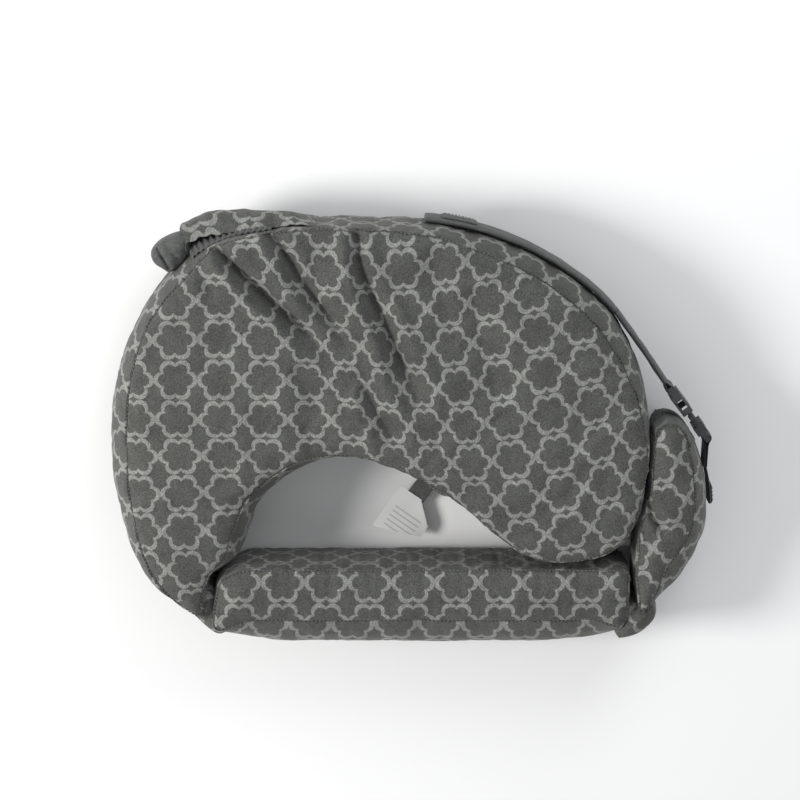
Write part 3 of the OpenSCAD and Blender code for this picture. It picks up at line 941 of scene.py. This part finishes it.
def make_crescent(cloth):
    fold_at = joints["backrest_fold"]
    line = clear_outline("cushion_top_cover", ["backrest_fold"], 6 * MM, 1.6)
    pad = cushion_pad("cushion", line, CRESCENT_SEAM, 0.4, 9 * MM, 13 * MM)
    drawn = press_folds(pad, FOLDS, -6 * MM, 9 * MM)
    place = np.array(pad.points[:, :2])
    place[pad.top_ids] += 0.4 * drawn
    pad.set_print(crescent_print(place))
    pad.roughen(1.3 * MM, 60 * MM, 3.1)
    pad.roughen(0.5 * MM, 17 * MM, 7.7)
    pucker_seam(pad, 0.9 * MM, 15 * MM, 11 * MM, 1.0)
    ripple_walls(pad, 2.2 * MM, 34 * MM, 5.0)
    settle(pad, 5 * MM, 0.12)

    arm_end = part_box("arm_end_cover")
    left_end, inner_corner = nearest(line, fold_at), nearest(line, (arm_end[1].x, arm_end[1].y))
    tip = nearest(line, (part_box("waist_wall_cover")[1].x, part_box("outer_wall_cover")[0].y))

    def wall_kind(i):
        if between(i, left_end, inner_corner, tip):
            return "arm_end"
        return "waist" if between(i, tip, inner_corner, left_end) else "outer"

    kinds = [wall_kind(i) for i in range(pad.n)]
    finish_panels(pad, "crescent", "cushion", kinds, cloth, {
        "top": "cushion_top_cover",
        "bottom": "cushion_bottom_cover",
        "outer": "outer_wall_cover",
        "waist": "waist_wall_cover",
        "arm_end": "arm_end_cover",
    })
    return pad


def between(i, a, b, away):
    """Whether place i lies on the stretch of a closed outline from a to b that avoids away."""
    first, last = min(a, b), max(a, b)
    return (first <= i < last) != (first <= away < last)


def finish_piece(piece, body, node):
    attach(piece, body)
    if node:
        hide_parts(node)


def finish_panels(pad, name, body, kinds, cloth, nodes):
    """Makes one object for each of a pad's panels. kinds gives each wall column's panel."""
    for panel, node in nodes.items():
        def wanted(kind, i):
            return (kinds[i] if kind == "wall" else kind) == panel

        piece = pad.panel_object(f"{name}_{panel}", wanted, cloth, 0 if panel == "bottom" else 1)
        finish_piece(piece, body, node)


def make_band_cushion(body, line, seam, share, phase, turn, seed):
    """The backrest or the side wing: a straight-sided pad with a crowned top."""
    pad = cushion_pad(body, line, seam, share, 8 * MM, 11 * MM)
    cos, sin = math.cos(turn), math.sin(turn)
    gap = pad.points[:, :2] - np.array(phase) * MM
    spun = np.stack([cos * gap[:, 0] + sin * gap[:, 1], -sin * gap[:, 0] + cos * gap[:, 1]], axis=1)
    pad.set_print(spun + np.array(TRELLIS_PITCH) * MM / 2)
    pad.roughen(1.0 * MM, 45 * MM, seed)
    pad.roughen(0.4 * MM, 14 * MM, seed + 4)
    pucker_seam(pad, 0.8 * MM, 13 * MM, 10 * MM, seed)
    return pad


def make_backrest(cloth):
    line = clear_outline("backrest_top_cover", FOLD_JOINTS, 5 * MM, 1.4)
    out = -inward(line)
    pad = make_band_cushion("backrest", line, BACKREST_SEAM, 0.3, BACKREST_FLOWER, 0, 2.2)
    ripple_walls(pad, 1.6 * MM, 30 * MM, 9.0)
    flatten_for_zipper(pad)
    settle(pad, 3.5 * MM, 0.15, near_zipper(pad.points) > 0)

    def wall_kind(x, y):
        if abs(y) > 0.55:
            return "outer" if y < 0 else "inner"
        return "left" if x < 0 else "right"

    nodes = {panel: f"backrest_{panel}_cover" for panel in ("top", "bottom", "inner", "outer")}
    nodes |= {end: f"backrest_{end}_end_cover" for end in ("left", "right")}
    finish_panels(pad, "backrest", "backrest", [wall_kind(*o) for o in out], cloth, nodes)
    return pad


def near_zipper(points):
    """From 1 inside the zipper's rectangle to 0 away from it, on the backrest's outer wall."""
    low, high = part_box("zipper_lower_tape")[0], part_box("zipper_upper_tape")[1]
    reach = 12 * MM
    beyond = np.maximum(
        np.maximum(low.x - points[:, 0], points[:, 0] - high.x),
        np.maximum(low.z - points[:, 2], points[:, 2] - high.z),
    )
    is_outer = points[:, 1] < low.y + 30 * MM
    return np.where(is_outer, 1 - smoothstep(beyond, 0, reach), 0)


def flatten_for_zipper(pad):
    """Draws the outer wall flush behind the zipper's tapes."""
    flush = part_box("zipper_lower_tape")[1].y + 0.3 * MM
    walls = np.arange(pad.n, pad.rows * pad.n)
    share = near_zipper(pad.points[walls])
    pad.points[walls, 1] = pad.points[walls, 1] * (1 - share) + flush * share


def make_wing(cloth, plain):
    line = clear_outline("wing_top_cover", ["wing_fold"], 5 * MM, 1.4)
    # The side by the crescent swells into the space left between the cushions
    line = even(line - inward(line) * inset_between(line, WING_FILL)[:, None], MESH)
    out = -inward(line)
    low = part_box("wing_end_cap")[0]
    is_cap = (line[:, 1] > low.y - 4 * MM) & (out[:, 1] > 0.3)
    pad = make_band_cushion("wing", line, WING_SEAM, 0.4, WING_FLOWER, math.radians(13), 6.4)
    ripple_walls(pad, 1.8 * MM, 26 * MM, 2.0)
    press_folds(pad, WING_FOLDS, -3 * MM, 5 * MM)
    gather_cap(pad, is_cap)
    settle(pad, 3.5 * MM, 0.15)
    kinds = ["cap" if c else "outer" if o[0] > 0.25 else "inner" for c, o in zip(is_cap, out)]
    nodes = {panel: f"wing_{panel}_cover" for panel in ("top", "bottom", "inner", "outer")}
    finish_panels(pad, "wing", "wing", kinds, cloth, nodes)
    finish_panels(pad, "wing", "wing", kinds, plain, {"cap": "wing_end_cap"})
    return pad


def gather_cap(pad, is_cap):
    """Ruffles in the wing's end, tight under the top seam and fading downwards."""
    columns = np.nonzero(is_cap)[0]
    for row in range(1, pad.rows):
        share = pad.share[row * pad.n]
        fullness = math.exp(-((1 - share) / 0.3) ** 2)
        for i in columns:
            wave = math.sin(2 * math.pi * i * MESH / (13 * MM) + 2.4 * share)
            push = MM * fullness * (3.5 + 1.8 * wave)
            pad.points[row * pad.n + i, :2] -= pad.into[i] * push


def make_foams(material):
    """Foam cores, each a little smaller than its cover."""
    for body in ("cushion", "backrest", "wing"):
        node = f"{body}_foam"
        low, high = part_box(node)
        line = clear_outline(node, FOLD_JOINTS, 34 * MM, 2, FOAM_MESH)
        line = line + inward(line) * (13 * MM)
        edge = np.full(len(line), 5 * MM)
        pad = Pad(
            line, low.z + 1 * MM, high.z - 16 * MM, edge, edge,
            seam_high=4 * MM, seam_low=4 * MM, crown=5 * MM, mesh=FOAM_MESH,
        )
        finish_piece(pad.whole(f"{body}_core", material, 0), body, node)


def seam_threads(pads, material):
    """Sewing thread along each cushion's top and bottom seams, lying in the groove."""
    for body, pad in pads:
        normals = pad.normals()
        for level, seam in (("top", pad.top_seam), ("bottom", pad.bottom_seam)):
            ring = pad.points[seam] + normals[seam] * 1.5 * MM
            thread = stitches(
                f"{body}_{level}_seam_thread", ring, normals[seam], 3.0 * MM, 1.0 * MM, 0.5 * MM, material
            )
            finish_piece(thread, body, None)


# ---- Folds between the cushions ----

FOLD_PADS = {  # the outline of a fold's cloth, from its hinge, and the way across the gap it closes, in mm
    "left": (
        [
            (-27, 25), (-14, 12.5), (-4, 3), (4, -5), (12, -9), (20, -8), (26, -3), (28, 6), (22, 20),
            (14, 34), (6, 42), (-3, 42), (-8, 32), (-17, 33),
        ],
        (0.95, -0.32),
    ),
    "right": (
        [
            (-20, -16), (-8, -14.5), (5, -10.5), (14, -3), (21, 5), (24, 14), (20, 24), (12, 27), (2, 28),
            (-6, 27), (-14, 18), (-20, 4),
        ],
        (1, 0),
    ),
}


def make_fold(side, node, joint, cloth):
    """The cover's cloth that runs on past a fold's outer corner, as a creased pad between the cushions."""
    at = joints[joint]
    outline, across = FOLD_PADS[side]
    hinge = np.array([at.x, at.y])
    line = rounded(even(np.array(outline) * MM + hinge, 2 * MM), 2)
    low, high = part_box(node)
    edge = np.full(len(line), 3 * MM)
    pad = Pad(
        line, low.z, high.z + 2 * MM, edge, edge,
        seam_high=16 * MM, seam_low=5 * MM, crown=9 * MM, mesh=2.4 * MM, rings=(),
    )
    ripple_walls(pad, 1.1 * MM, 14 * MM, 3.0)
    inner = pad.top_inner
    gap = pad.points[inner, :2] - hinge
    crease = np.abs(gap @ np.array(across))
    reach = smoothstep(np.linalg.norm(gap, axis=1), 0, 20 * MM)
    pad.points[inner, 2] -= 6 * MM * np.exp(-crease / (3 * MM)) * reach
    pad.roughen(1.6 * MM, 13 * MM, 2.0)
    piece = pad.whole(f"{side}_fold_cloth", cloth)
    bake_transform(piece)
    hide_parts(node)


# ---- Pocket, tab and label on the crescent ----

TAB_SHAPE = [  # the lump's outline in plan, from its middle, in mm
    (-8.6, 5.3), (-6.6, -1.7), (2.4, -6.7), (9.4, -11.7), (21.4, -1.7), (30, 12), (31, 26),
    (20, 30.7), (4.7, 25.4), (-4.2, 18.4), (-9.2, 11.5),
]
TAB_CREASES = [((0.85, 0.53), 6, 7), ((0.80, 0.60), 17, 4), ((-0.3, 0.95), 4, 3)]  # way across, place, depth
LABEL_SIZE = (48 * MM, 54 * MM)
LABEL_CORNER = (-9.6 * MM, -71.9 * MM)
# A bend is a point on it, the way out over it, and how far the turned part drops
LABEL_BENDS = [((32, 4), (0.66, -0.75), 3.0), ((24, 42), (0.36, 0.93), 2.0)]


def make_pocket(line, cloth, plain):
    """A full wall pocket. Its gathered mouth stands open at one end, and is drawn shut along the rest."""
    panel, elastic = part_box("pocket_panel"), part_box("pocket_elastic")
    right = nearest(line, (panel[1].x, panel[1].y - 10 * MM))
    wall = stretch_between(line, line[right], (panel[0].x - 1 * MM, panel[0].y - 3 * MM))
    out = path_normals(wall)
    total = lengths(wall, closed=False)[-1]

    def mouth(at):
        return (0.8 + 9 * smoothstep(at, 0.6, 1.0)) * MM * smoothstep(1 - at, -0.02, 0.05)

    def belly(s, v):
        at = min(max(s / total, 0), 1)
        ends = smoothstep(at, 0, 0.2) * smoothstep(1 - at, -0.04, 0.08)
        full = (9 + 12 * smoothstep(at, 0.1, 0.8)) * MM * math.sin(math.pi * v ** 1.8) ** 0.8
        gathers = 0.8 * MM * math.sin(2 * math.pi * s / (11 * MM)) * math.exp(-(1 - v) / 0.25)
        crease = 2.4 * MM * noise.noise(Vector((s / (16 * MM), v * 2.2, 4)))
        sunk = 2.6 * MM * (1 - smoothstep(at, 0, 0.1))
        return mouth(at) * v + (full + gathers * (0.3 + 0.7 * at) + crease) * ends - sunk

    body = strap(
        "pocket_panel_cloth", wall - out * 0.4 * MM, panel[0].z, elastic[1].z - 1 * MM, 3.2 * MM, cloth,
        step=1.6 * MM, rows=30, stitched=0.02, wave=belly,
    )
    finish_piece(body, "cushion", "pocket_panel")
    start = len(wall) // 3
    before = lengths(wall[: start + 1], closed=False)[-1]

    def gathered(s, v):
        at = (s + before) / total
        drawn = 11 * MM * v * smoothstep(at, 0.55, 1.0)
        return mouth(at) * 0.8 - drawn + 1.1 * MM * math.sin(2 * math.pi * s / (6 * MM) + 3 * v)

    rim = strap(
        "pocket_rim", wall[start:], elastic[0].z - 16 * MM, elastic[1].z + 2 * MM, 5.0 * MM, plain,
        step=1.2 * MM, rows=12, stitched=0.2, wave=gathered,
    )
    finish_piece(rim, "cushion", "pocket_elastic")


def make_tab(plain):
    """A plain strip folded over into a soft lump that stands out from the wall."""
    low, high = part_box("fabric_tab")
    middle = np.array([(low.x + high.x) / 2, (low.y + high.y) / 2])
    ring = rounded(even(middle + np.array(TAB_SHAPE) * MM, 1.8 * MM), 2)
    edge = np.full(len(ring), 2.5 * MM)
    pad = Pad(
        ring, low.z, high.z, edge, edge,
        seam_high=9 * MM, seam_low=8 * MM, crown=5 * MM, mesh=2.0 * MM, rings=(),
    )
    inner = pad.top_inner
    gap = pad.points[inner, :2] - middle
    for (nx, ny), at, depth in TAB_CREASES:
        crease = np.abs(gap @ np.array([nx, ny]) - at * MM)
        pad.points[inner, 2] -= depth * MM * np.exp(-crease / (1.8 * MM))
    pad.roughen(2.0 * MM, 10 * MM, 5.0)
    ripple_walls(pad, 1.6 * MM, 11 * MM, 8.0)
    finish_piece(pad.whole("folded_tab", plain), "cushion", "fabric_tab")


def grid_faces(rows, columns):
    """The faces of a grid of points, numbered row by row."""
    corners = [j * (columns + 1) + i for j in range(rows) for i in range(columns)]
    return [(a, a + 1, a + columns + 2, a + columns + 1) for a in corners]


def make_label(cloth, tape):
    """A limp label with an upper corner bent down and its lower edge turned under, and its strip."""
    low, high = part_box("sewn_label")
    turn = math.radians(-35)
    across, down = np.array([math.cos(turn), math.sin(turn)]), np.array([math.sin(turn), -math.cos(turn)])
    corner = np.array(LABEL_CORNER)
    steps = 36
    points, uvs = [], []
    for j in range(steps + 1):
        for i in range(steps + 1):
            x, y = i / steps * LABEL_SIZE[0], j / steps * LABEL_SIZE[1]
            uvs.append((x - LABEL_SIZE[0] / 2, LABEL_SIZE[1] - y))
            fall = 0
            for (bx, by), (nx, ny), drop in LABEL_BENDS:
                past = (x - bx * MM) * nx + (y - by * MM) * ny
                if past > 0:
                    x, y = x - 2 * past * nx, y - 2 * past * ny
                    fall += (drop * (1 - math.exp(-past / (2 * MM))) + 0.3) * MM
            u, v = x / LABEL_SIZE[0], y / LABEL_SIZE[1]
            lift = 5 * v * v + 3 * math.sin(math.pi * u) * v + 1.2 * noise.noise(Vector((u * 2, v * 2, 5)))
            place = corner + across * x + down * y
            points.append((place[0], place[1], max(high.z + lift * MM - fall, low.z - 4 * MM)))
    faces = [face[::-1] for face in grid_faces(steps, steps)]
    label = new_object("label", points, faces, [[uvs[k] for k in face] for face in faces], cloth)
    subdivide(label)
    finish_piece(label, "cushion", "sewn_label")
    make_label_strip(corner + across * 20 * MM + down * 9 * MM, across, -down, tape)


def make_label_strip(start, across, ahead, tape):
    """The plain tape that runs low across the opening from the label to the wall."""
    low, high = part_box("label_tape")
    rows, columns, half = 24, 6, 10 * MM
    reach = np.dot(np.array([high.x, high.y]) - start, ahead)
    points = []
    for j in range(rows + 1):
        share = j / rows
        z = low.z + (0.4 + 2 * math.sin(math.pi * share)) * MM
        for i in range(columns + 1):
            place = start + ahead * reach * share + across * (2 * i / columns - 1) * half
            points.append((*place, z + 0.5 * MM * noise.noise(Vector((i * 0.4, share * 6, 2)))))
    faces = grid_faces(rows, columns)
    strip = new_object("label_strip", points, faces, [[points[k][:2] for k in face] for face in faces], tape)
    modify(strip, "SOLIDIFY", thickness=0.8 * MM)
    apply_modifiers(strip)
    subdivide(strip)
    finish_piece(strip, "cushion", "label_tape")


# ---- Belt and buckle ----


def make_belt(line, plain, thread):
    low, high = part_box("belt_fixed_run")
    thick = 6 * MM
    hinge, bar = joints["belt_swing"], joints["receiver_turn"]
    wall = stretch_between(line, (hinge.x, hinge.y), (low.x, high.y))
    offset = SLACK + thick / 2 + 0.9 * MM
    fixed_path = (wall + path_normals(wall) * offset)[::-1]

    def soft_edge(s, v):
        return 0.7 * MM * noise.noise(Vector((s / (16 * MM), v * 3, 8)))

    fixed = strap("belt_along_wall", fixed_path, low.z, high.z, thick, plain, wave=soft_edge)
    finish_piece(fixed, "cushion", "belt_fixed_run")
    start, end = np.array([hinge.x, hinge.y]), np.array([bar.x, bar.y])
    ahead = (end - start) / np.linalg.norm(end - start)
    left = np.array([-ahead[1], ahead[0]])
    stop = end - ahead * 6.5 * MM
    bow = left * 2.0 * MM
    lift = left * (offset - SLACK - 2 * MM)
    free_path = curve_through(np.array([start + lift, (start + stop) / 2 + bow, stop]) / MM, 40)
    free = strap(
        "belt_loose_end", free_path, low.z, high.z, thick, plain, wave=soft_edge,
        taper=lambda s, total: 1 - 0.14 * smoothstep(s, total - 14 * MM, total),
    )
    finish_piece(free, "belt", "belt_free_run")
    loop_low, loop_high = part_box("belt_end_loop")
    radius = (loop_high.x - loop_low.x) / 2 - 1.0 * MM
    loop = webbing_loop(
        "belt_bar_loop", end, -ahead, radius, loop_low.z, loop_high.z, 2.4 * MM, 12 * MM, plain
    )
    finish_piece(loop, "belt", "belt_end_loop")
    patch_out = offset + thick / 2 + 0.5 * MM
    sewn_patch("belt_patch", "belt_anchor_patch", "cushion", line, patch_out, plain, thread)
    edge_stitches("belt_wall_thread", fixed_path, low.z, high.z, thick / 2, thread, "cushion")
    edge_stitches("belt_loose_thread", free_path, low.z, high.z, thick / 2, thread, "belt")


def webbing_loop(name, centre, back, radius, low, high, thick, tail, material):
    """Webbing that comes in along back, passes round a bar and lies on itself."""
    side = np.array([-back[1], back[0]])
    turn = np.linspace(-0.80 * math.pi, 0.80 * math.pi, 26)
    around = [centre - back * radius * math.cos(a) + side * radius * math.sin(a) for a in turn]
    pinch = thick * 0.55
    first = [centre + back * tail - side * pinch, centre + back * radius * 1.9 - side * pinch]
    last = [centre + back * radius * 1.9 + side * pinch, centre + back * tail + side * pinch]
    path = np.array(first + around + last)
    return strap(name, path, low, high, thick, material, step=1.2 * MM, rows=14, stitched=0.1)


def sewn_patch(name, node, body, line, out, plain, thread):
    """A patch sewn over a strap's end, at a distance out from the wall."""
    low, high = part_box(node)
    path = stretch_between(line, (high.x, low.y), (low.x, high.y))
    path = path + path_normals(path) * out
    patch = strap(name, path, low.z, high.z, 1.6 * MM, plain, stitched=0.06)
    finish_piece(patch, body, node)
    boxed_stitches(f"{name}_thread", path, low.z, high.z, 1.0 * MM, thread, body)


def edge_stitches(name, path, low, high, out, thread, body):
    """Rows of stitches near both edges of a band, on its outer face."""
    side = path_normals(path)
    normals = np.column_stack([side, np.zeros(len(path))])
    for k, z in enumerate((low + 0.12 * (high - low), high - 0.12 * (high - low))):
        ring = np.column_stack([path + side * (out * 0.72), np.full(len(path), z)])
        row = stitches(f"{name}_{k}", ring, normals, 2.6 * MM, 1.0 * MM, 0.3 * MM, thread, closed=False)
        finish_piece(row, body, None)


def boxed_stitches(name, path, low, high, out, thread, body):
    """A sewn rectangle with a cross, on a patch's outer face."""
    side = path_normals(path)
    run = lengths(path, closed=False)
    inset = 3 * MM
    s0, s1, z0, z1 = inset, run[-1] - inset, low + inset, high - inset
    corners = [(s0, z0), (s1, z0), (s1, z1), (s0, z1), (s0, z0), (s1, z1)]
    legs = list(zip(corners, corners[1:])) + [((s1, z0), (s0, z1))]
    for k, (a, b) in enumerate(legs):
        s, z = (np.linspace(a[m], b[m], 12) for m in (0, 1))
        n = along(side, run, s)
        ring = np.column_stack([along(path, run, s) + n * out, z])
        normals = np.column_stack([n, np.zeros(len(s))])
        leg = stitches(f"{name}_{k}", ring, normals, 2.4 * MM, 0.9 * MM, 0.3 * MM, thread, closed=False)
        finish_piece(leg, body, None)


def make_wing_webbing(line, webbing, plain, thread):
    low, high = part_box("wing_webbing")
    bar = joints["plug_turn"]
    thick = 2.6 * MM
    bottom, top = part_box("belt_end_loop")[0].z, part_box("belt_end_loop")[1].z
    wall = stretch_between(line, (high.x, low.y), (low.x, low.y + 0.55 * (high.y - low.y)))
    path = wall + path_normals(wall) * (SLACK + thick / 2 + 0.4 * MM)
    end = np.array([bar.x, bar.y])
    reach = np.linalg.norm(end - path[-1])
    towards = (end - path[-1]) / reach
    sewn = strap("webbing_on_wing", path, bottom, top, thick, webbing)
    loop = webbing_loop(
        "webbing_bar_loop", end, -towards, 2.6 * MM + thick / 2, bottom, top,
        2.2 * MM, reach + 2 * MM, webbing,
    )
    finish_piece(sewn, "wing", "wing_webbing")
    finish_piece(loop, "wing", None)
    sewn_patch("webbing_patch", "wing_webbing_patch", "wing", line, SLACK + thick + 1.2 * MM, plain, thread)


def make_hard_parts(black, steel):
    for part, width in (("receiver", 0.7), ("plug", 0.6), ("upper_prong", 0.4), ("lower_prong", 0.4)):
        piece = bevelled_copy(f"moulded_{part}", f"buckle_{part}", width * MM, black)
        finish_piece(piece, part, f"buckle_{part}")
    for part, body, width in (
        ("slider", "zipper_slider", 0.35),
        ("pull", "zipper_pull", 0.35),
        ("left_stop", "backrest", 0.3),
        ("right_stop", "backrest", 0.3),
        ("teeth", "backrest", 0.15),
    ):
        piece = bevelled_copy(f"metal_{part}", f"zipper_{part}", width * MM, steel, 2)
        finish_piece(piece, body, f"zipper_{part}")


def make_tapes(plain):
    for node in ("zipper_upper_tape", "zipper_lower_tape"):
        low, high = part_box(node)
        path = np.array([[low.x, (low.y + high.y) / 2], [high.x, (low.y + high.y) / 2]])
        thick = high.y - low.y
        name = node.replace("zipper", "woven")
        tape = strap(name, path, low.z, high.z, thick, plain, rows=10, stitched=0.25)
        finish_piece(tape, "backrest", node)


# ---- The scene ----

set_camera()
set_stage()

plush_cloth = plush()
plain_cloth = weave("plain_cloth", PLAIN)
webbing_cloth = weave("webbing", (0.035, 0.035, 0.037), pitch=1.6 * MM, contrast=0.5, roughness=0.6)
thread_cloth = weave("thread", THREAD, pitch=0.5 * MM)

crescent = make_crescent(plush_cloth)
backrest = make_backrest(plush_cloth)
wing = make_wing(plush_cloth, plain_cloth)
make_foams(foam())
seam_threads([("cushion", crescent), ("backrest", backrest), ("wing", wing)], thread_cloth)
make_fold("left", "left_fold_seam", "backrest_fold", plush_cloth)
make_fold("right", "right_fold_seam", "wing_fold", plush_cloth)
make_pocket(crescent.line, plush_cloth, plain_cloth)
make_tab(plain_cloth)
make_label(label_cloth(), plain_cloth)
make_belt(crescent.line, plain_cloth, thread_cloth)
make_wing_webbing(wing.line, webbing_cloth, plain_cloth, thread_cloth)
make_hard_parts(plastic(), metal())
make_tapes(plain_cloth)
